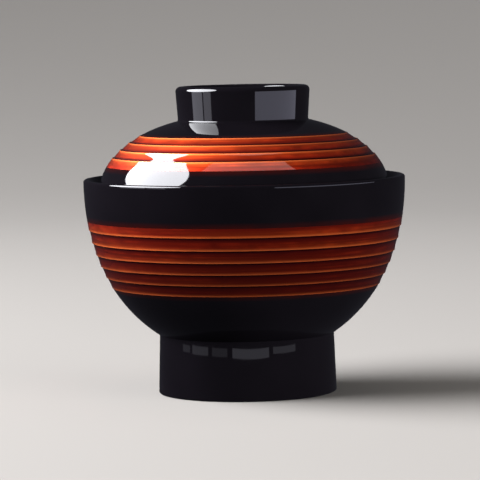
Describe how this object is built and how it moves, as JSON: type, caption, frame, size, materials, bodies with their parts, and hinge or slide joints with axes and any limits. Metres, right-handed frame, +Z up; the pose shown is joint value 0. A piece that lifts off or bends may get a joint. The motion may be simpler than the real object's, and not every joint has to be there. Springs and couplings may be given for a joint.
{
  "type": "lidded soup bowl",
  "caption": "Deep round lacquered soup bowl on a tall foot ring, with ribbed red bands and a domed lid that sits inside the lip and lifts off by its ring grip.",
  "frame": {"origin": "centre of the foot ring's standing edge", "axes": "+Z up along the axis that the bowl, the lid and the rings are turned about; X and Y are level"},
  "size_m": [0.12, 0.12, 0.1145],
  "materials": {
    "turned_wood": "fine turned, under the lacquer",
    "black_lacquer": "mirror gloss",
    "red_lacquer": "translucent over the ribs, mirror gloss",
    "lacquered_wood": "black lacquer, mirror gloss"
  },
  "bodies": {
    "bowl": {"bowl_wood": "turned_wood", "bowl_rim_lacquer": "black_lacquer", "bowl_red_band": "red_lacquer", "bowl_base_lacquer": "black_lacquer", "foot_ring": "lacquered_wood"},
    "lid": {"lid_wood": "turned_wood", "lid_edge_lacquer": "black_lacquer", "lid_red_band": "red_lacquer", "lid_crown_lacquer": "black_lacquer", "grip_ring": "lacquered_wood"}
  },
  "joints": [
    {"name": "lid_lift", "type": "slide", "parent": "bowl", "child": "lid", "axis": [0, 0, 1], "range_m": [0, 0.09]}
  ]
}
